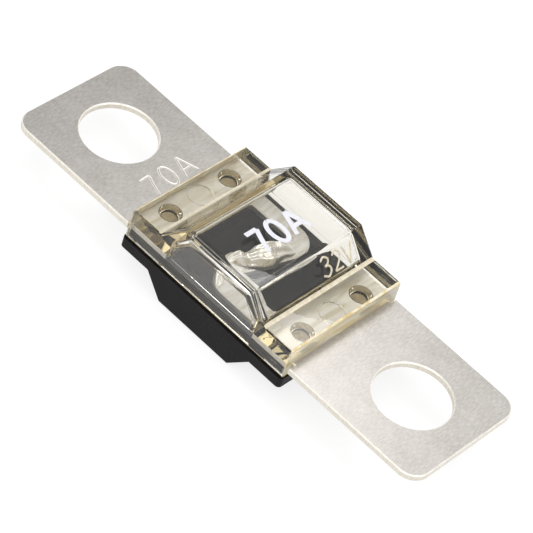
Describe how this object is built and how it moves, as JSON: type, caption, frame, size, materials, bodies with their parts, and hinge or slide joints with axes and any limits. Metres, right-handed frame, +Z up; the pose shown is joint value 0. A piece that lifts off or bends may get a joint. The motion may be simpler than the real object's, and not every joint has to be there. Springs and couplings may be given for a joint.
{
  "type": "bolt down strip fuse",
  "caption": "Bolt down strip fuse: a flat plated strip with a bolt hole at each end, its weak link under a clear domed cover on a black moulded housing.",
  "frame": {"origin": "centre of the housing's flat underside, below the middle between the two terminal holes", "axes": "+X along the strip from one terminal hole to the other, +Y across the strip, +Z up through the clear cover"},
  "size_m": [0.0406, 0.0122, 0.0075],
  "materials": {
    "black_housing": "black moulded thermoplastic, fine satin grain",
    "clear_plastic": "clear moulded plastic, polished, faint straw tint where it is thick",
    "plated_strip": "satin tin plating with faint cross brushing",
    "tin": "bright lumpy once molten tin"
  },
  "bodies": {
    "root": {"housing_base": "black_housing", "clear_cover": "clear_plastic", "fuse_strip": "plated_strip", "tin_spot": "tin"}
  },
  "joints": []
}
